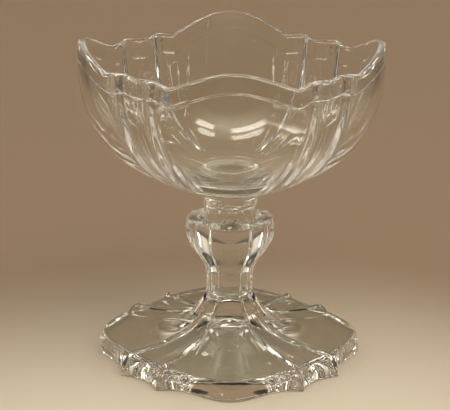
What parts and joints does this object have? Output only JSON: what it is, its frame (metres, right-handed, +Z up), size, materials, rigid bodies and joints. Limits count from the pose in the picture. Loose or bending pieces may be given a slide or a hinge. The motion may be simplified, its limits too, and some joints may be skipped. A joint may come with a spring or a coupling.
{
  "type": "compote bowl",
  "caption": "Clear pressed-glass compote: a lobed, ribbed bowl with a scalloped rim on a panelled, collared stem and a spreading bracketed foot; holds fruit, sweets or dessert.",
  "frame": {"origin": "middle of the base, on the surface that the foot rests on", "axes": "+Z up along the stem, -Y towards the panel that faces the viewer, +X to the viewer's right"},
  "size_m": [0.14, 0.14, 0.1508],
  "materials": {
    "bowl_glass": "clear, fire-polished",
    "wafer_glass": "clear, fire-polished",
    "stem_glass": "clear, fire-polished",
    "foot_glass": "clear, fire-polished, scuffed where it rests"
  },
  "bodies": {
    "root": {"bowl": "bowl_glass", "joining_wafer": "wafer_glass", "stem": "stem_glass", "foot": "foot_glass"}
  },
  "joints": []
}
